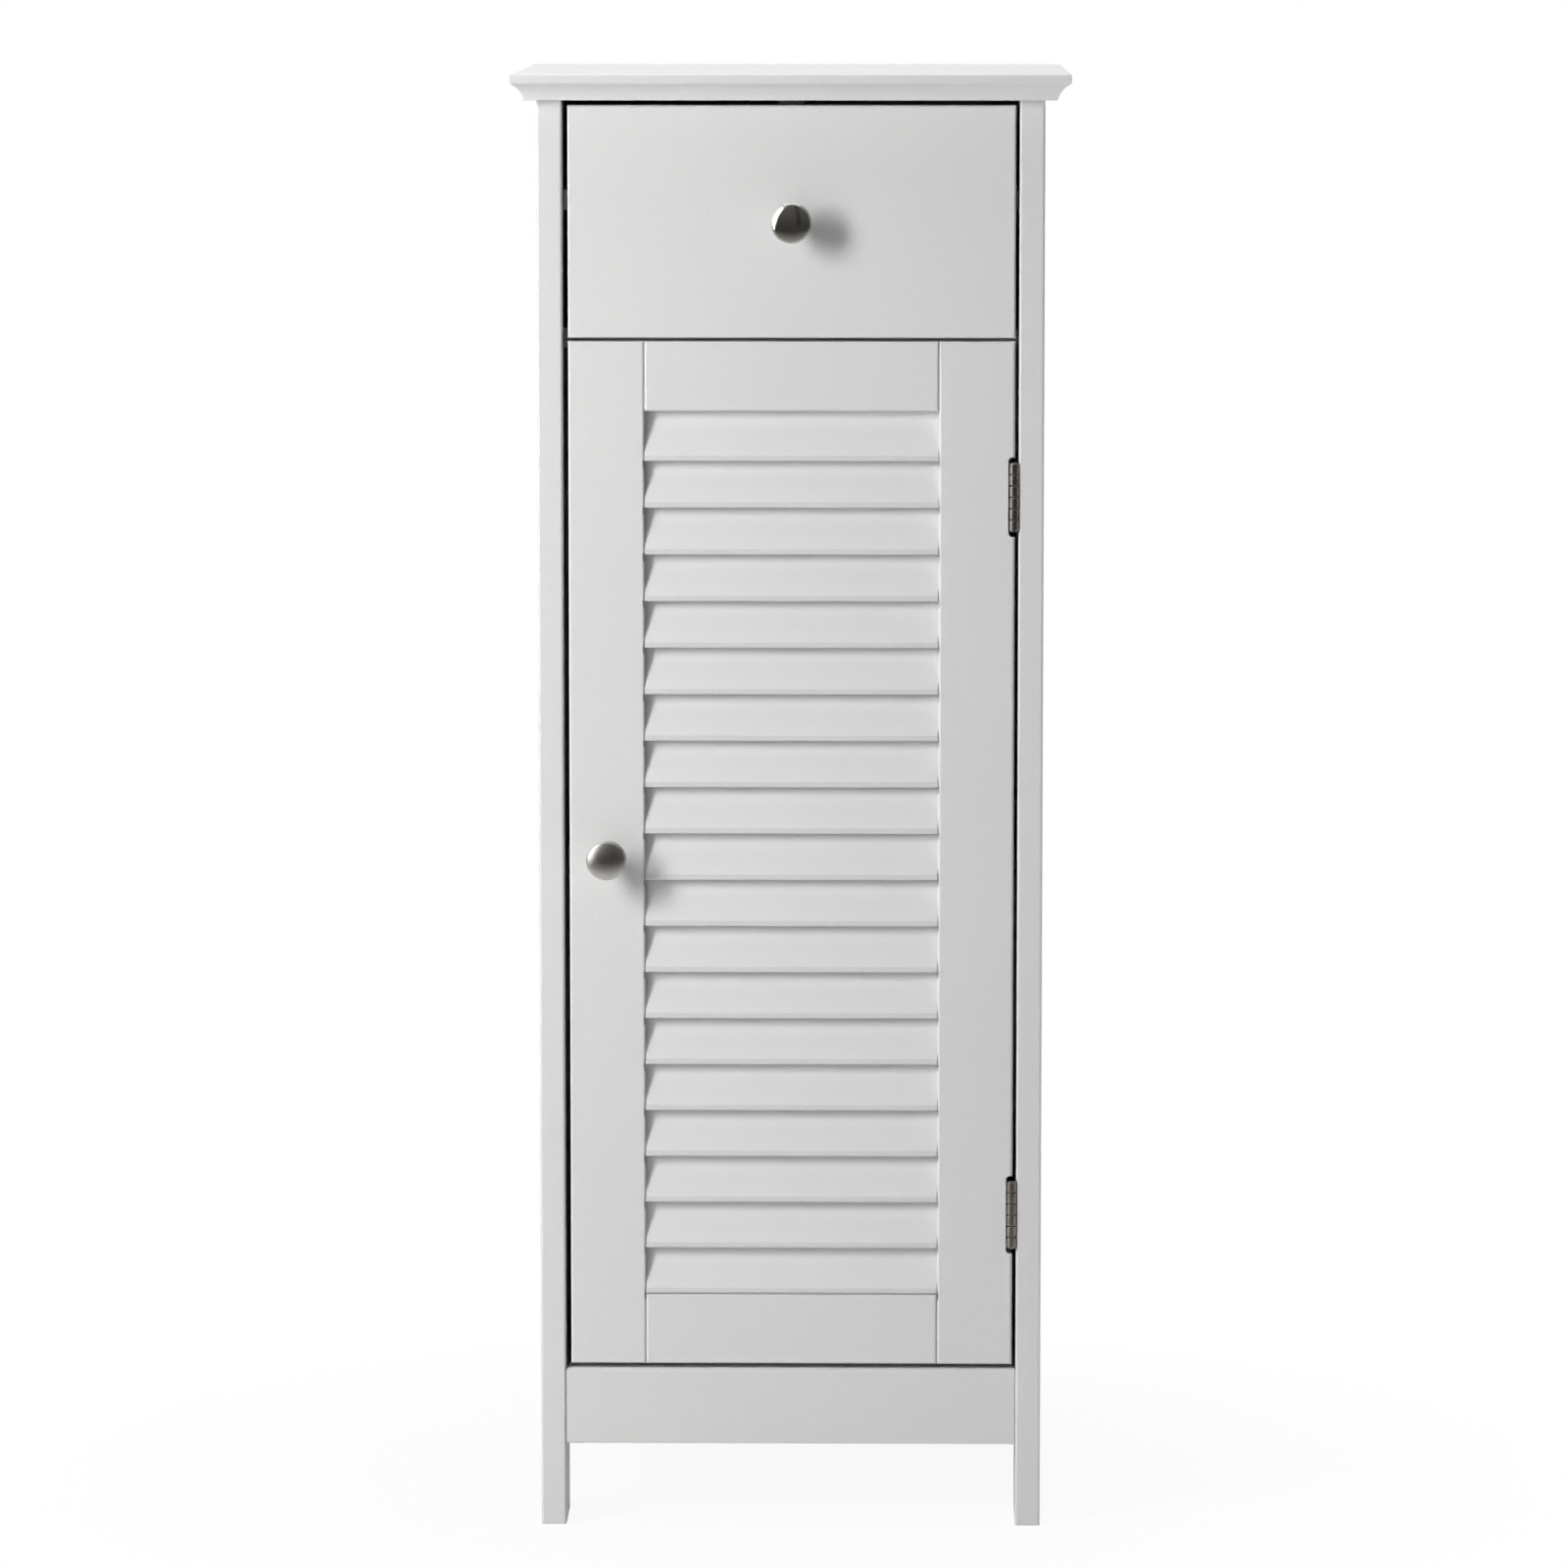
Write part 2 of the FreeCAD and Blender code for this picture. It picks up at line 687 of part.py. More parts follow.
def magnetic_catch_housing():
    half = catch_width / 2
    core = block(catch_middle_x - half + catch_lug, catch_middle_x + half - catch_lug, catch_front_y,
                 catch_front_y + catch_depth, catch_bottom, divider_underside)
    core = eased(core, board_arris, lambda box: near(box.XMin, box.XMax) and near(box.ZMin, catch_bottom)
                 and near(box.ZMax, catch_bottom))
    lugs = block(catch_middle_x - half, catch_middle_x + half, catch_front_y, catch_front_y + catch_depth,
                 divider_underside - catch_lug_height, divider_underside)
    return without(joined([core, lugs]), [catch_cavity()] + [hole for _, hole in catch_screws])


def catch_magnet():
    """The magnet, whose face stands a little out of its housing."""
    box = catch_cavity().BoundBox
    return block(box.XMin, box.XMax, box.YMin - magnet_proud, box.YMax, box.ZMin, box.ZMax)


# ---------------------------------------------------------------- drawer
def drawer_runner_groove(side):
    """The groove in a drawer side that slides on its runner; it is open at the back."""
    outer = side * (inner_x - drawer_side_gap)
    depth = runner_engagement + runner_play
    x_low = min(outer, outer - side * depth)
    half = runner_height / 2 + runner_play
    return block(x_low, x_low + depth, fronts_back_y, box_back_y, runner_level - half, runner_level + half)


def drawer_bottom_panel():
    """The thin bottom, held in grooves of the front, the sides and the back."""
    reach = drawer_side_thickness - drawer_bottom_groove
    return block(box_left_x + reach, box_right_x - reach,
                 fronts_back_y - drawer_bottom_groove, drawer_back_front_y + drawer_bottom_groove,
                 drawer_bottom_underside, drawer_bottom_underside + drawer_bottom_thickness)


def drawer_front_dowels():
    """Two dowels from each drawer side into the drawer front."""
    middles = (box_left_x + drawer_side_thickness / 2, box_right_x - drawer_side_thickness / 2)
    levels = [box_bottom + box_height * share for share in drawer_fixing_shares]
    start_y = fronts_back_y - dowel_half_length
    return [rod(dowel_radius, Vec(x, start_y, z), ALONG_Y, 2 * dowel_half_length)
            for x in middles for z in levels]


def drawer_back_screws():
    """Two screws through each drawer side into the end of the drawer back."""
    y = (drawer_back_front_y + box_back_y) / 2
    levels = [box_bottom + box_height * share for share in drawer_fixing_shares]
    screws = []
    for side in (-1, 1):
        mouth_x = side * (inner_x - drawer_side_gap)
        screws += [wood_screw(Vec(mouth_x, y, z), Vec(-side, 0, 0), back_screw_length) for z in levels]
    return screws


drawer_dowels = drawer_front_dowels()
drawer_screws = drawer_back_screws()
drawer_knob_place = Vec((fronts_left_x + fronts_right_x) / 2, front_y, drawer_middle)
door_knob_place = Vec(fronts_left_x + stile_width / 2, front_y, door_middle)


def knob_hole(place):
    return rod(knob_screw_radius + knob_screw_hole_play, place, ALONG_Y, front_thickness)


def drawer_front():
    board = block(fronts_left_x, fronts_right_x, front_y, fronts_back_y, drawer_front_bottom,
                  drawer_front_top)
    board = eased(board, drawer_front_arris, on_y(front_y))
    return without(board, [drawer_bottom_panel(), knob_hole(drawer_knob_place)] + drawer_dowels)


def drawer_side(side):
    outer = side * (inner_x - drawer_side_gap)
    x_low = min(outer, outer - side * drawer_side_thickness)
    board = block(x_low, x_low + drawer_side_thickness, fronts_back_y, box_back_y, box_bottom, box_top)
    board = eased(board, board_arris, lambda box: near(box.ZMin, box_top) and near(box.XMin, box.XMax))
    cutters = [drawer_runner_groove(side), drawer_bottom_panel()] + drawer_dowels
    return without(board, cutters + [hole for _, hole in drawer_screws])


def drawer_back():
    board = block(box_left_x + drawer_side_thickness, box_right_x - drawer_side_thickness,
                  drawer_back_front_y, box_back_y, box_bottom, drawer_back_top)
    board = eased(board, board_arris,
                  lambda box: near(box.ZMin, drawer_back_top) and near(box.YMin, box.YMax))
    return without(board, [drawer_bottom_panel()] + [hole for _, hole in drawer_screws])


def knob(place):
    """A turned knob: a small base, a waisted neck, a rim, a groove and a low domed cap."""
    def along(centre, radius, angle):
        """The point of an arc at an angle from the knob's axis."""
        return centre + Vec(math.sin(angle), 0, math.cos(angle)) * radius

    cap_middle = knob_cap_radius - knob_cap_edge
    dome_angle = math.asin(cap_middle / (knob_dome_curve - knob_cap_edge))
    dome_centre = Vec(0, 0, knob_projection - knob_dome_curve)
    cap_centre = along(dome_centre, knob_dome_curve - knob_cap_edge, dome_angle)
    cap_back = along(cap_centre, knob_cap_edge, math.pi)
    cap_front = along(cap_centre, knob_cap_edge, dome_angle)
    rim_front = cap_back.z - knob_groove_width
    rim_back = rim_front - knob_rim_height
    rim_round = knob_rim_height / 2
    base_top = Vec(knob_base_radius - knob_base_taper, 0, knob_base_height)
    neck = Vec(knob_neck_radius, 0, knob_base_height + (rim_back - knob_base_height) * 0.4)
    under_rim = Vec(knob_radius - rim_round, 0, rim_back)
    over_rim = Vec(knob_radius - rim_round, 0, rim_front)
    groove_corner = Vec(cap_back.x, 0, rim_front)
    lines = [
        Part.LineSegment(Vec(0, 0, 0), Vec(knob_base_radius, 0, 0)),
        Part.LineSegment(Vec(knob_base_radius, 0, 0), base_top),
        Part.Arc(base_top, neck, under_rim),
        Part.Arc(under_rim, Vec(knob_radius, 0, rim_back + rim_round), over_rim),
        Part.LineSegment(over_rim, groove_corner),
        Part.LineSegment(groove_corner, cap_back),
        Part.Arc(cap_back, along(cap_centre, knob_cap_edge, math.pi / 2), cap_front),
        Part.Arc(cap_front, along(dome_centre, knob_dome_curve, dome_angle / 2), Vec(0, 0, knob_projection)),
        Part.LineSegment(Vec(0, 0, knob_projection), Vec(0, 0, 0)),
    ]
    face = Part.Face(Part.Wire([line.toShape() for line in lines]))
    solid = face.revolve(Vec(0, 0, 0), ALONG_Z, 360)
    solid = solid.cut(rod(knob_screw_radius, Vec(0, 0, 0), ALONG_Z, knob_screw_grip))
    solid.rotate(Vec(0, 0, 0), ALONG_X, 90)
    solid.translate(place)
    return solid


def knob_screw(place):
    """A machine screw from behind a front into its knob."""
    shank = rod(knob_screw_radius, place - ALONG_Y * knob_screw_grip, ALONG_Y,
                knob_screw_grip + front_thickness)
    head_start = place + ALONG_Y * front_thickness
    head = rod(knob_screw_head_radius, head_start, ALONG_Y, knob_screw_head_height)
    head_back = head_start.y + knob_screw_head_height
    head = eased(head, knob_screw_head_round, on_y(head_back))
    slot = block(place.x - knob_screw_head_radius, place.x + knob_screw_head_radius,
                 head_back - knob_screw_slot, head_back + 1, place.z - knob_screw_slot / 2,
                 place.z + knob_screw_slot / 2)
    return joined([shank, head]).cut(slot)


# ---------------------------------------------------------------- louvred door
def slat_outline(foot, grow=0.0):
    """The section of a slat whose nose stands on the level foot, as (y, z) points."""
    slope = math.tan(slat_tilt)
    nose_y = front_y + slat_setback - grow
    tall = slat_height + grow
    thick = slat_thickness + 2 * grow
    top_front_y = nose_y + (tall - slat_nose_height) * slope
    top_back = (top_front_y + thick * math.cos(slat_tilt), foot + tall - thick * math.sin(slat_tilt))
    bottom_back_y = nose_y - (slat_nose_height + grow) * slope + thick / math.cos(slat_tilt)
    return [(nose_y, foot - grow), (nose_y, foot + slat_nose_height), (top_front_y, foot + tall), top_back,
            (bottom_back_y, foot - grow)]


def slat_foot(number):
    """The level of a slat's nose, counted from 0 at the bottom of the opening."""
    return opening_bottom + slat_foot_gap + number * slat_pitch


def slat(number):
    """One slat with a tongue into each stile; the uppermost is trimmed under the top rail."""
    x_low = opening_left_x - mortise_depth + slat_end_play
    x_high = opening_right_x + mortise_depth - slat_end_play
    bar = bar_along_x(slat_outline(slat_foot(number)), x_low, x_high)
    bar = eased(bar, slat_round, lambda box: near(box.YMin, box.YMax) and near(box.ZMin, box.ZMax))
    room = bar.BoundBox
    tongue_front_y = front_y + tongue_setback
    shoulders = ((x_low - 1, opening_left_x + slat_shoulder_gap),
                 (opening_right_x - slat_shoulder_gap, x_high + 1))
    bar = without(bar, [block(low, high, front_y, tongue_front_y, room.ZMin - 1, room.ZMax + 1)
                        for low, high in shoulders])
    ceiling = opening_top - mortise_clearance
    if room.ZMax > ceiling:
        bar = bar.common(block(x_low, x_high, room.YMin - 1, room.YMax + 1, room.ZMin - 1, ceiling))
    return bar


def mortises(side):
    """The slanted slots that take the slats' tongues, each with the shallow tail that its cutter leaves."""
    mouth_x = opening_left_x if side < 0 else opening_right_x
    x_low = min(mouth_x, mouth_x + side * mortise_depth)
    tail_low = min(mouth_x, mouth_x + side * tail_depth)
    lip = block(x_low, x_low + mortise_depth, front_y, front_y + tongue_setback - mortise_clearance,
                opening_bottom, door_top)
    tail_radius = tail_width / 2
    tail_y = front_y + slat_setback + tail_radius
    cuts = []
    for number in range(slat_count):
        foot = slat_foot(number)
        slot = bar_along_x(slat_outline(foot, mortise_clearance), x_low, x_low + mortise_depth)
        tail_z = foot - tail_length + tail_radius
        end = rod(tail_radius, Vec(tail_low, tail_y, tail_z), ALONG_X, tail_depth)
        tail = block(tail_low, tail_low + tail_depth, tail_y - tail_radius, tail_y + tail_radius, tail_z,
                     foot + slat_round)
        cuts += [slot.cut(lip), joined([end, tail])]
    return cuts


def door_dowels():
    """Two dowels at each joint of a rail and a stile."""
    y = front_y + front_thickness / 2
    levels = [door_top - top_rail_width * share for share in dowel_shares]
    levels += [door_bottom + bottom_rail_width * share for share in dowel_shares]
    starts = (opening_left_x - dowel_half_length, opening_right_x - dowel_half_length)
    return [rod(dowel_radius, Vec(x, y, z), ALONG_X, 2 * dowel_half_length) for x in starts for z in levels]


rail_dowels = door_dowels()


def door_board(x_low, x_high, z_low, z_high):
    """A board of the door's frame with all its front and back edges eased."""
    board = block(x_low, x_high, front_y, fronts_back_y, z_low, z_high)
    return eased(board, door_arris, lambda box: on_y(front_y)(box) or on_y(fronts_back_y)(box))


def latch_stile():
    board = door_board(fronts_left_x, opening_left_x, door_bottom, door_top)
    cutters = mortises(-1) + rail_dowels
    return without(board, cutters + [knob_hole(door_knob_place), strike_screw[1]])


def hinge_stile():
    board = door_board(opening_right_x, fronts_right_x, door_bottom, door_top)
    cutters = mortises(1) + rail_dowels
    cutters += [hinge_notch(level) for level in hinge_levels.values()]
    return without(board, cutters + [hole for _, hole in door_hinge_screws])


def top_rail():
    return without(door_board(opening_left_x, opening_right_x, opening_top, door_top), rail_dowels)


def bottom_rail():
    return without(door_board(opening_left_x, opening_right_x, door_bottom, opening_bottom), rail_dowels)


def strike_plate():
    """The steel plate on the back of the door that the magnet holds."""
    half = strike_width / 2
    plate = block(catch_middle_x - half, catch_middle_x + half, fronts_back_y,
                  fronts_back_y + strike_thickness, strike_level - strike_height / 2,
                  strike_level + strike_height / 2)
    plate = eased(plate, strike_round, lambda box: near(box.XMin, box.XMax) and near(box.ZMin, box.ZMax))
    return plate.cut(strike_screw[1])


# ---------------------------------------------------------------- every node
nodes = {
    "top_board": top_board(),
    "left_side_panel": side_panel(-1),
    "right_side_panel": side_panel(1),
    "bottom_panel": bottom_panel(),
    "divider_panel": divider_panel(),
    "apron": apron(),
    "back_panel": back_panel(),
    "adjustable_shelf": adjustable_shelf(),
    "shelf_pins": shelf_pins(),
    "drawer_runners": drawer_runners(),
    "drawer_stop": drawer_stop(),
    "magnetic_catch_housing": magnetic_catch_housing(),
    "catch_magnet": catch_magnet(),
    "cabinet_wood_screws": [screw for screw, _ in cabinet_screws],
    "cam_bolts": [cam[0] for cam in all_cams],
    "cam_discs": [cam[1] for cam in all_cams],
    "carcass_dowels": carcass_dowels,
    "hinge_pins": [hinge_pin(level) for level in hinge_levels.values()],
    "drawer_front": drawer_front(),
    "drawer_left_side": drawer_side(-1),
    "drawer_right_side": drawer_side(1),
    "drawer_back": drawer_back(),
    "drawer_bottom": drawer_bottom_panel(),
    "drawer_dowels": drawer_dowels,
    "drawer_wood_screws": [screw for screw, _ in drawer_screws],
    "drawer_knob": knob(drawer_knob_place),
    "drawer_knob_screw": knob_screw(drawer_knob_place),
    "door_latch_stile": latch_stile(),
    "door_hinge_stile": hinge_stile(),
    "door_top_rail": top_rail(),
    "door_bottom_rail": bottom_rail(),
    "door_dowels": rail_dowels,
    "door_knob": knob(door_knob_place),
    "door_knob_screw": knob_screw(door_knob_place),
    "strike_plate": strike_plate(),
    "door_wood_screws": [screw for screw, _ in door_screws],
}
for hinge_name, hinge_level in hinge_levels.items():
    nodes["hinge_" + hinge_name + "_cabinet_leaf"] = cabinet_leaf(hinge_level)
    nodes["hinge_" + hinge_name + "_door_leaf"] = door_leaf(hinge_level)
for slat_number in range(slat_count):
    nodes["slat_%02d" % (slat_number + 1)] = slat(slat_number)

os.makedirs("parts", exist_ok=True)
for node_name, node_shape in nodes.items():
    if isinstance(node_shape, list):
        node_shape = Part.makeCompound(node_shape)
    node_shape.exportStep("parts/" + node_name + ".step")
print(len(nodes), "nodes")
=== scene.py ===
import json
import math
import bpy
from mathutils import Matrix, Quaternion, Vector


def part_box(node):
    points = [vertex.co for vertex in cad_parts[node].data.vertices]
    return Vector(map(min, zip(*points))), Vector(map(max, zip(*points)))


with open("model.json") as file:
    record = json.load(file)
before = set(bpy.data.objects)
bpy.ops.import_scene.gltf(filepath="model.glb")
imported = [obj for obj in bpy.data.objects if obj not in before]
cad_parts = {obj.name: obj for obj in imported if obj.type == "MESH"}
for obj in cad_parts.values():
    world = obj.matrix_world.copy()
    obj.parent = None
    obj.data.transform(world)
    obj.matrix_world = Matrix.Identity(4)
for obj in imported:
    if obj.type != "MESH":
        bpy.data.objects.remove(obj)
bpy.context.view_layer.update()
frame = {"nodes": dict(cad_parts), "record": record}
cad = frame["nodes"]

WHITE = (1, 1, 1, 1)
# The colour sockets of Blender's Mix node share their names with others, so they are picked by number.
MIX_FACTOR = 0
MIX_FIRST = 6
MIX_SECOND = 7
MIX_RESULT = 2


# ---------------------------------------------------------------- shader helpers
class Shader:
    """The node tree of one material or world, built node by node."""

    def __init__(self, owner):
        owner.use_nodes = True
        self.tree = owner.node_tree
        self.tree.nodes.clear()

    def add(self, kind, inputs=(), **settings):
        """A new node; inputs holds a value or another node's output for each socket it names."""
        made = self.tree.nodes.new("ShaderNode" + kind)
        for key, value in settings.items():
            setattr(made, key, value)
        for key, value in dict(inputs).items():
            self.put(made.inputs[key], value)
        return made

    def put(self, socket, value):
        """Link an output to a socket, or set a plain value on it."""
        if isinstance(value, bpy.types.NodeSocket):
            self.tree.links.new(value, socket)
        else:
            socket.default_value = value

    def noise(self, place, scale, detail=2.0, rough=0.5, warp=0.0):
        """Noise around 0.5; a larger scale makes it finer."""
        return self.add("TexNoise", {"Vector": place, "Scale": scale, "Detail": detail, "Roughness": rough,
                                     "Distortion": warp}).outputs["Fac"]

    def stretched(self, place, scale, at=(0.0, 0.0, 0.0)):
        """place times scale, axis by axis, then moved by at; a small scale draws a pattern out."""
        return self.add("Mapping", {"Vector": place, "Location": at, "Scale": scale}).outputs["Vector"]

    def span(self, value, low, high, to_low=0.0, to_high=1.0):
        """value carried from low and high to to_low and to_high, and held there beyond them."""
        return self.add("MapRange", {"Value": value, "From Min": low, "From Max": high, "To Min": to_low,
                                     "To Max": to_high}).outputs["Result"]

    def math(self, operation, first, second):
        return self.add("Math", {0: first, 1: second}, operation=operation).outputs["Value"]

    def dot(self, first, second):
        return self.add("VectorMath", {0: first, 1: second}, operation="DOT_PRODUCT").outputs["Value"]

    def part(self, vector, axis):
        """One coordinate of a vector."""
        return self.add("SeparateXYZ", {"Vector": vector}).outputs[axis]

    def facing(self, axis):
        """The surface's own direction along one axis, from -1 to 1."""
        return self.part(self.add("TexCoord").outputs["Normal"], axis)

    def mix(self, factor, first, second):
        """The first colour where factor is 0, the second where it is 1."""
        made = self.add("Mix", {MIX_FACTOR: factor}, data_type="RGBA")
        self.put(made.inputs[MIX_FIRST], first)
        self.put(made.inputs[MIX_SECOND], second)
        return made.outputs[MIX_RESULT]

    def tint(self, colour, mask, amount, towards):
        """colour, taken by amount of the way towards another where mask is 1."""
        return self.mix(self.math("MULTIPLY", mask, amount), colour, towards)

    def bump(self, height, distance, strength=1.0, normal=None):
        """A normal that follows height; a height of 1 stands distance metres proud."""
        made = self.add("Bump", {"Height": height, "Distance": distance, "Strength": strength})
        if normal is not None:
            self.put(made.inputs["Normal"], normal)
        return made.outputs["Normal"]

    def edge(self, radius, low, high):
        """(rounded normal, 0 on flats to 1 on arrises)."""
        rounded = self.add("Bevel", {"Radius": radius}, samples=4).outputs["Normal"]
        true = self.add("NewGeometry").outputs["Normal"]
        return rounded, self.span(self.math("SUBTRACT", 1.0, self.dot(rounded, true)), low, high)

    def crease(self, distance, low, high):
        """0 on open faces to 1 deep in a groove."""
        seen = self.add("AmbientOcclusion", {"Distance": distance}, samples=6).outputs["AO"]
        return self.span(seen, high, low)

    def emission(self, colour):
        return self.add("Emission", {"Color": colour, "Strength": 1.0}).outputs["Emission"]

    def background(self, colour, strength=1.0):
        return self.add("Background", {"Color": colour, "Strength": strength}).outputs["Background"]

    def mix_shaders(self, factor, first, second):
        """The first shader where factor is 0, the second where it is 1."""
        return self.add("MixShader", {0: factor, 1: first, 2: second}).outputs["Shader"]

    def surface(self, **inputs):
        """Finish with a principled shader; an underscore stands for a space in a socket's name."""
        shader = self.add("BsdfPrincipled", {key.replace("_", " "): value for key, value in inputs.items()})
        self.finish(shader.outputs["BSDF"])

    def finish(self, shader):
        self.put(self.add("OutputMaterial").inputs["Surface"], shader)


def tone(value, warm=0.0):
    """A near-neutral linear colour; warm above 0 leans to yellow, below 0 to blue."""
    return (value * (1 + warm), value, value * (1 - warm), 1.0)


def scaled(colour, factor):
    """A colour made lighter or darker by one factor."""
    return tuple(min(1.0, value * factor) for value in colour[:3]) + (1,)


def material(name):
    """(a new material, its Shader, its object coordinates in metres)."""
    made = bpy.data.materials.new(name)
    shader = Shader(made)
    return made, shader, shader.add("TexCoord").outputs["Object"]


# ---------------------------------------------------------------- materials
def white_paint(name, value=0.74, warm=0.002, peel=1.0, nose=0.0, inside=False):
    """Sprayed satin lacquer on MDF: soft clouds, orange peel, paint thin on arrises, a painted highlight
    along arrises, painted shade in grooves.

    nose is how much painted shade darkens the faces that point straight forward, such as the slat noses.
    inside is for the panels within the cabinet, whose painted shade is dark but only where a gap nearly
    closes over them.
    """
    made, s, place = material(name)
    cloud = s.span(s.noise(place, scale=5.0, detail=3.0), low=0.3, high=0.7)
    colour = s.mix(cloud, tone(value * 0.985, warm), tone(value * 1.015, warm))
    # Painted shade: faces that point straight forward, such as the slat noses, are made darker than the
    # tilted slat faces.
    if nose:
        nose_shade = s.span(s.facing("Y"), low=-0.96, high=-0.995, to_low=0.0, to_high=nose)
        colour = s.mix(nose_shade, colour, tone(value * 0.82))
    speckle = s.span(s.noise(place, scale=900.0, detail=1.0), low=0.35, high=0.65)
    colour = s.tint(colour, speckle, amount=0.5, towards=tone(value * 0.965, warm))
    rounded, arris = s.edge(radius=0.0007, low=0.03, high=0.3)
    patchy = s.span(s.noise(place, scale=38.0, detail=4.0, rough=0.65), low=0.5, high=0.72)
    worn = s.math("MULTIPLY", arris, patchy)
    # Painted highlight: arrises lighter, as where the eased edges catch the light.
    colour = s.tint(colour, arris, amount=0.35, towards=tone(min(0.9, value * 1.15)))
    colour = s.tint(colour, worn, amount=0.4, towards=tone(value * 0.86, 0.03))
    # Painted shade in grooves and gaps: inside, it goes nearly black where a gap almost closes; outside, a
    # little darker.
    if inside:
        groove_shade = s.crease(distance=0.006, low=0.08, high=0.42)
        groove_shade_amount = 0.9
    else:
        groove_shade = s.crease(distance=0.003, low=0.25, high=0.85)
        groove_shade_amount = 0.16
    colour = s.tint(colour, groove_shade, amount=groove_shade_amount, towards=tone(value * 0.18, 0.02))
    rough = s.span(s.noise(place, scale=60.0, detail=4.0), low=0.3, high=0.7, to_low=0.4, to_high=0.5)
    orange_peel = s.noise(place, scale=420.0, detail=2.0)
    wave = s.noise(place, scale=46.0, detail=1.0)
    normal = s.bump(orange_peel, distance=0.00004 * peel, strength=0.6, normal=rounded)
    normal = s.bump(wave, distance=0.00012 * peel, strength=0.35, normal=normal)
    s.surface(Base_Color=colour, Roughness=rough, Normal=normal, Specular_IOR_Level=0.42)
    return made


def hardboard():
    """Thin fibreboard: white lacquer towards the inside, bare brown fibre with a screen pattern behind."""
    made, s, place = material("hardboard_lacquered")
    bare = s.span(s.facing("Y"), low=0.4, high=0.6)
    fibre = s.noise(place, scale=260.0, detail=5.0, rough=0.7, warp=0.6)
    blot = s.noise(place, scale=14.0, detail=3.0)
    brown = s.mix(s.span(fibre, low=0.35, high=0.65), (0.165, 0.085, 0.04, 1), (0.30, 0.175, 0.092, 1))
    brown = s.tint(brown, s.span(blot, low=0.4, high=0.7), amount=0.4, towards=(0.20, 0.115, 0.06, 1))
    white = s.mix(s.span(blot, low=0.3, high=0.7), tone(0.69), tone(0.73))
    screen = s.add("TexVoronoi", {"Vector": place, "Scale": 620.0}, distance="CHEBYCHEV").outputs["Distance"]
    rough = s.span(bare, low=0.0, high=1.0, to_low=0.42, to_high=0.78)
    height = s.math("ADD", s.math("MULTIPLY", screen, bare), s.math("MULTIPLY", fibre, 0.5))
    normal = s.bump(height, distance=0.00014, strength=0.7)
    s.surface(Base_Color=s.mix(bare, white, brown), Roughness=rough, Normal=normal)
    return made


def beech():
    """Bare planed beech, its grain and small flecks running along X."""
    made, s, place = material("beech_along_x")
    along_grain = 0.06
    grain = s.stretched(place, (along_grain, 1.0, 1.0))
    lines = s.noise(grain, scale=240.0, detail=5.0, rough=0.6, warp=0.4)
    flecks = s.noise(s.stretched(place, (along_grain, 1.6, 1.6)), scale=900.0, detail=2.0)
    broad = s.noise(grain, scale=30.0, detail=2.0)
    colour = s.mix(s.span(lines, low=0.3, high=0.7), (0.56, 0.36, 0.19, 1), (0.70, 0.49, 0.28, 1))
    colour = s.tint(colour, s.span(flecks, low=0.55, high=0.7), amount=0.5, towards=(0.40, 0.22, 0.10, 1))
    colour = s.tint(colour, broad, amount=0.25, towards=(0.62, 0.44, 0.26, 1))
    rounded, arris = s.edge(radius=0.0006, low=0.05, high=0.4)
    colour = s.tint(colour, arris, amount=0.2, towards=(0.76, 0.57, 0.36, 1))
    rough = s.span(lines, low=0.2, high=0.8, to_low=0.5, to_high=0.66)
    normal = s.bump(lines, distance=0.00008, strength=0.6, normal=rounded)
    s.surface(Base_Color=colour, Roughness=rough, Normal=normal)
    return made


def turned_nickel(name, centre, rough_low, rough_high):
    """Nickel-plated turned metal: fine lathe rings about the Y axis through centre, and faint tarnish."""
    made, s, place = material(name)
    local = s.stretched(place, (1, 1, 1), at=[-value for value in centre])
    rings = s.add("TexWave", {"Vector": local, "Scale": 420.0, "Distortion": 0.6, "Detail": 2.0},
                  wave_type="RINGS", rings_direction="Y").outputs["Fac"]
    haze = s.noise(local, scale=260.0, detail=4.0, rough=0.6)
    smear = s.noise(local, scale=90.0, detail=3.0, rough=0.5, warp=1.2)
    colour = s.mix(s.span(smear, low=0.35, high=0.7), (0.70, 0.69, 0.665, 1), (0.615, 0.60, 0.57, 1))
    dark = s.crease(distance=0.0025, low=0.2, high=0.8)
    colour = s.tint(colour, dark, amount=0.6, towards=(0.16, 0.15, 0.14, 1))
    rounded, arris = s.edge(radius=0.0004, low=0.05, high=0.4)
    colour = s.tint(colour, arris, amount=0.5, towards=(0.82, 0.81, 0.79, 1))
    hazy = s.span(haze, low=0.3, high=0.7, to_low=rough_low, to_high=rough_high)
    rough = s.math("ADD", hazy, s.math("MULTIPLY", dark, 0.25))
    normal = s.bump(rings, distance=0.0000015, strength=0.5, normal=rounded)
    s.surface(Base_Color=colour, Metallic=1.0, Roughness=rough, Normal=normal)
    return made


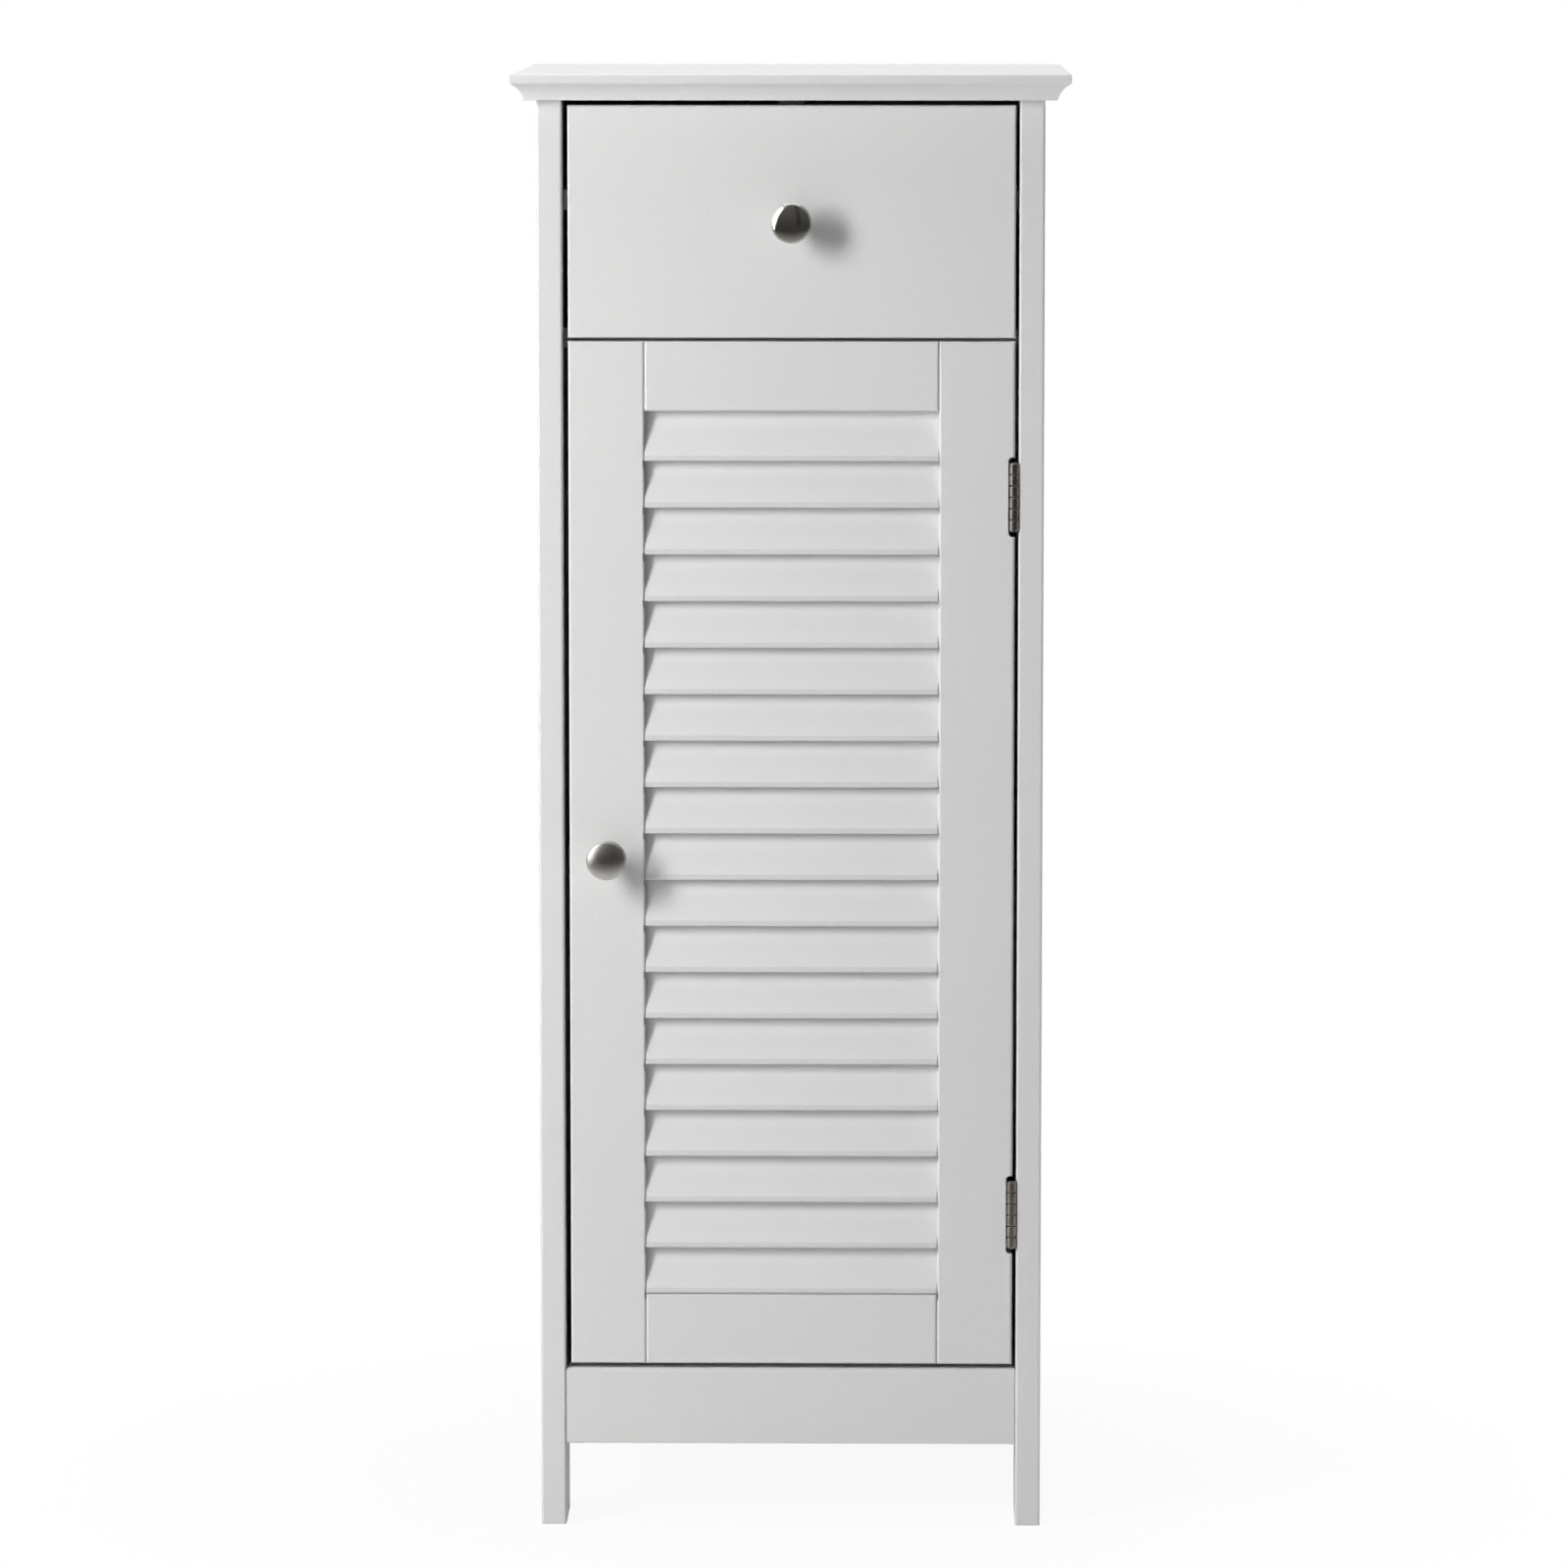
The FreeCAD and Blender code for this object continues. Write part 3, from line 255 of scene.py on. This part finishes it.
def plated_steel(name, bright, dull, rough_low, rough_high, spangle=0.0):
    """Plated metal, lightly drawn upright, darker in joints and creases and rubbed bright on its edges.

    spangle is how strongly single crystals of the plating show.
    """
    made, s, place = material(name)
    drawn = s.noise(s.stretched(place, (1.0, 1.0, 0.04)), scale=1500.0, detail=3.0)
    patch = s.noise(place, scale=170.0, detail=3.0, rough=0.6)
    colour = s.mix(s.span(patch, low=0.3, high=0.7), bright, dull)
    if spangle:
        flakes = s.add("TexVoronoi", {"Vector": place, "Scale": 900.0}).outputs["Color"]
        colour = s.tint(colour, s.part(flakes, "X"), amount=spangle, towards=dull)
    # Darker where the surface sits in a crease or joint.
    crease_dark = s.crease(distance=0.0018, low=0.2, high=0.8)
    colour = s.tint(colour, crease_dark, amount=0.75, towards=(0.05, 0.048, 0.045, 1))
    rounded, arris = s.edge(radius=0.0003, low=0.05, high=0.4)
    colour = s.tint(colour, arris, amount=0.45, towards=scaled(bright, 1.2))
    rough = s.span(s.math("MULTIPLY", drawn, patch), low=0.1, high=0.4, to_low=rough_low, to_high=rough_high)
    normal = s.bump(drawn, distance=0.000006, strength=0.5, normal=rounded)
    s.surface(Base_Color=colour, Metallic=1.0, Roughness=rough, Normal=normal)
    return made


def moulded_plastic(name, light, shade):
    """Injection-moulded plastic with a spark-eroded surface and slightly polished corners."""
    made, s, place = material(name)
    grain = s.noise(place, scale=1800.0, detail=3.0, rough=0.6)
    flow = s.noise(place, scale=60.0, detail=2.0)
    colour = s.mix(s.span(flow, low=0.35, high=0.65), light, shade)
    rounded, arris = s.edge(radius=0.0005, low=0.05, high=0.4)
    colour = s.tint(colour, arris, amount=0.3, towards=scaled(light, 1.15))
    # Darker where the surface sits in a crease.
    crease_dark = s.crease(distance=0.003, low=0.2, high=0.8)
    colour = s.tint(colour, crease_dark, amount=0.4, towards=scaled(shade, 0.4))
    eroded = s.span(grain, low=0.3, high=0.7, to_low=0.46, to_high=0.6)
    rough = s.math("SUBTRACT", eroded, s.math("MULTIPLY", arris, 0.12))
    normal = s.bump(grain, distance=0.00003, strength=0.6, normal=rounded)
    s.surface(Base_Color=colour, Roughness=rough, Normal=normal)
    return made


def ground_ferrite():
    """Dark sintered magnet, its faces ground along X."""
    made, s, place = material("ground_ferrite")
    grain = s.noise(place, scale=2600.0, detail=3.0, rough=0.7)
    swirl = s.noise(s.stretched(place, (0.05, 1, 1)), scale=1800.0, detail=2.0)
    colour = s.mix(s.span(grain, low=0.3, high=0.7), (0.022, 0.021, 0.022, 1), (0.055, 0.053, 0.052, 1))
    rounded, arris = s.edge(radius=0.0003, low=0.05, high=0.4)
    colour = s.tint(colour, arris, amount=0.4, towards=(0.11, 0.105, 0.1, 1))
    rough = s.span(swirl, low=0.3, high=0.7, to_low=0.45, to_high=0.65)
    normal = s.bump(swirl, distance=0.00001, strength=0.5, normal=rounded)
    s.surface(Base_Color=colour, Metallic=0.35, Roughness=rough, Normal=normal)
    return made


def centre_of(name):
    """The middle of a node's box at rest."""
    low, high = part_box(name)
    return (low + high) / 2


paint = white_paint("satin_white_lacquer")
# The slats get a lighter copy of the lacquer: painted light for the extra top light their upward-tilted
# faces catch.
lightened_slat_paint = white_paint("satin_white_lacquer_slats", value=0.78, warm=0.001, peel=1.2, nose=0.8)
inner_paint = white_paint("satin_white_lacquer_inside", value=0.72, peel=1.5, inside=True)
board = hardboard()
dowel_wood = beech()
hinge_metal = plated_steel("nickel_plate_hinges", bright=(0.42, 0.40, 0.375, 1), dull=(0.29, 0.27, 0.25, 1),
                           rough_low=0.27, rough_high=0.42)
zinc = plated_steel("zinc_plate", bright=(0.72, 0.73, 0.75, 1), dull=(0.58, 0.59, 0.61, 1),
                    rough_low=0.24, rough_high=0.42, spangle=0.4)
casting = plated_steel("cast_zinc", bright=(0.52, 0.52, 0.54, 1), dull=(0.42, 0.42, 0.43, 1),
                       rough_low=0.4, rough_high=0.6, spangle=0.7)
white_plastic = moulded_plastic("white_plastic", light=(0.72, 0.72, 0.705, 1), shade=(0.66, 0.66, 0.645, 1))
grey_plastic = moulded_plastic("grey_plastic", light=(0.13, 0.13, 0.135, 1), shade=(0.10, 0.10, 0.105, 1))
ferrite = ground_ferrite()

finish = {"white_paint": paint, "white_hardboard": board, "hardwood": dowel_wood, "nickel": hinge_metal,
          "zinc_steel": zinc, "zinc_casting": casting, "white_plastic": white_plastic,
          "grey_plastic": grey_plastic, "ferrite": ferrite}
special = {}
for name, rough_low, rough_high in (("drawer_knob", 0.07, 0.12), ("door_knob", 0.28, 0.36)):
    special[name] = turned_nickel("turned_nickel_" + name, centre_of(name), rough_low, rough_high)
for name in ("drawer_left_side", "drawer_right_side", "drawer_back", "drawer_bottom", "adjustable_shelf",
             "divider_panel", "bottom_panel"):
    special[name] = inner_paint
slots = {row["node"]: row["material_slot"] for row in frame["record"]["subparts"]}
for name, piece in cad.items():
    chosen = special.get(name) or (lightened_slat_paint if name.startswith("slat_") else finish[slots[name]])
    for index in range(len(piece.material_slots)):
        piece.material_slots[index].material = chosen


# ---------------------------------------------------------------- floor and background
def floor_material():
    """Pale floor. Seen directly it fades to plain white around the cabinet; reflections see a dimmer one."""
    made, s, place = material("studio_floor")
    grain = s.noise(place, scale=30.0, detail=3.0)
    paper = s.add("BsdfDiffuse", {"Color": s.mix(grain, tone(0.80), tone(0.82))}).outputs["BSDF"]
    from_middle = s.add("VectorMath", {0: place}, operation="LENGTH").outputs["Value"]
    whiteness = s.span(from_middle, low=0.2, high=0.5, to_low=0.93, to_high=1.0)
    path = s.add("LightPath").outputs
    shown = s.mix_shaders(s.math("MULTIPLY", path["Is Camera Ray"], whiteness), paper, s.emission(WHITE))
    ahead = s.part(place, "Y")
    near = s.span(ahead, low=-1.6, high=-0.35)
    dim = s.mix(s.math("MULTIPLY", near, near), (0.052, 0.049, 0.046, 1), (0.45, 0.43, 0.405, 1))
    mirrored = s.math("MULTIPLY", path["Is Glossy Ray"], s.span(ahead, low=-0.3, high=-0.6))
    s.finish(s.mix_shaders(mirrored, shown, s.emission(dim)))
    return made


def studio_world():
    """White to the camera, almost dark as a light; reflections see a dim room ahead, white elsewhere."""
    world = bpy.data.worlds.new("studio")
    s = Shader(world)
    direction = s.add("TexCoord").outputs["Generated"]
    room_side = Vector((0.35, -1.0, -0.1)).normalized()
    towards_room = s.dot(direction, room_side)
    upward = s.span(s.part(direction, "Z"), low=0.0, high=0.9)
    room = s.mix(upward, (0.064, 0.06, 0.056, 1), (0.13, 0.122, 0.115, 1))
    slot_slope = 0.45
    slope = s.math("DIVIDE", s.part(direction, "X"), s.part(direction, "Y"))
    from_slot = s.math("ABSOLUTE", s.math("ADD", slope, slot_slope), 0.0)
    slot = s.span(from_slot, low=0.22, high=0.06, to_low=0.0, to_high=0.55)
    room = s.mix(slot, room, (0.012, 0.012, 0.011, 1))
    studio = s.mix(s.span(towards_room, low=0.42, high=0.26), room, WHITE)
    path = s.add("LightPath").outputs
    seen = s.math("MAXIMUM", path["Is Camera Ray"], path["Is Transmission Ray"])
    fill = s.background((0.965, 0.98, 1.0, 1), strength=0.01)
    lit = s.mix_shaders(path["Is Glossy Ray"], fill, s.background(studio))
    s.put(s.add("OutputWorld").inputs["Surface"], s.mix_shaders(seen, lit, s.background(WHITE)))
    return world


floor_reach = 6.0
floor_mesh = bpy.data.meshes.new("floor")
floor_corners = [(x * floor_reach, y * floor_reach, 0) for x, y in ((-1, -1), (1, -1), (1, 1), (-1, 1))]
floor_mesh.from_pydata(floor_corners, [], [(0, 1, 2, 3)])
floor = bpy.data.objects.new("floor", floor_mesh)
floor_mesh.materials.append(floor_material())
bpy.context.scene.collection.objects.link(floor)
bpy.context.scene.world = studio_world()


# ---------------------------------------------------------------- lamps
def softbox(name, place, aim, width, height, power, lean=0.0):
    """A rectangular lamp turned towards aim; lean tilts it about its own beam, in radians."""
    lamp = bpy.data.lights.new(name, "AREA")
    lamp.shape = "RECTANGLE"
    lamp.size = width
    lamp.size_y = height
    lamp.energy = power
    made = bpy.data.objects.new(name, lamp)
    made.location = place
    facing = (Vector(aim) - Vector(place)).to_track_quat("-Z", "Y") @ Quaternion((0, 0, 1), lean)
    made.rotation_euler = facing.to_euler()
    bpy.context.scene.collection.objects.link(made)
    return made


front_y = -0.13
key = softbox("key", (-1.36, -1.25, 1.22), aim=(0, front_y, 0.6), width=0.46, height=1.0, power=32.6)
key.visible_glossy = False
side_fill = softbox("fill", (-1.2, -2.3, 0.4), aim=(0, front_y, 0.2), width=1.8, height=1.4, power=10)
side_fill.visible_glossy = False
# The strip shows only in reflections: it makes the leaning highlight on the knobs.
strip = softbox("strip", (-1.5, -1.25, 1.15), aim=(0, front_y, 0.6), width=0.42, height=2.7, power=9,
                lean=-0.29)
strip.visible_diffuse = False
bounce = softbox("bounce", (1.5, 0.3, 0.2), aim=(0, -0.1, 0.1), width=0.5, height=0.5, power=14)
bounce.visible_glossy = False
softbox("top", (0.0, 0.15, 2.3), aim=(0, 0.1, 0.8), width=1.6, height=1.2, power=21.5)


# ---------------------------------------------------------------- camera
camera_pitch_down = 6.724
camera_turn_left = 0.857
lens = bpy.data.cameras.new("camera")
lens.sensor_width = 36
lens.lens = 168.97
lens.clip_start = 0.5
lens.clip_end = 60
camera = bpy.data.objects.new("camera", lens)
camera.location = (0.0611, -4.48, 0.962)
camera.rotation_euler = (math.radians(90 - camera_pitch_down), 0, math.radians(camera_turn_left))
bpy.context.scene.collection.objects.link(camera)
bpy.context.scene.camera = camera
bpy.context.scene.view_settings.view_transform = "Standard"
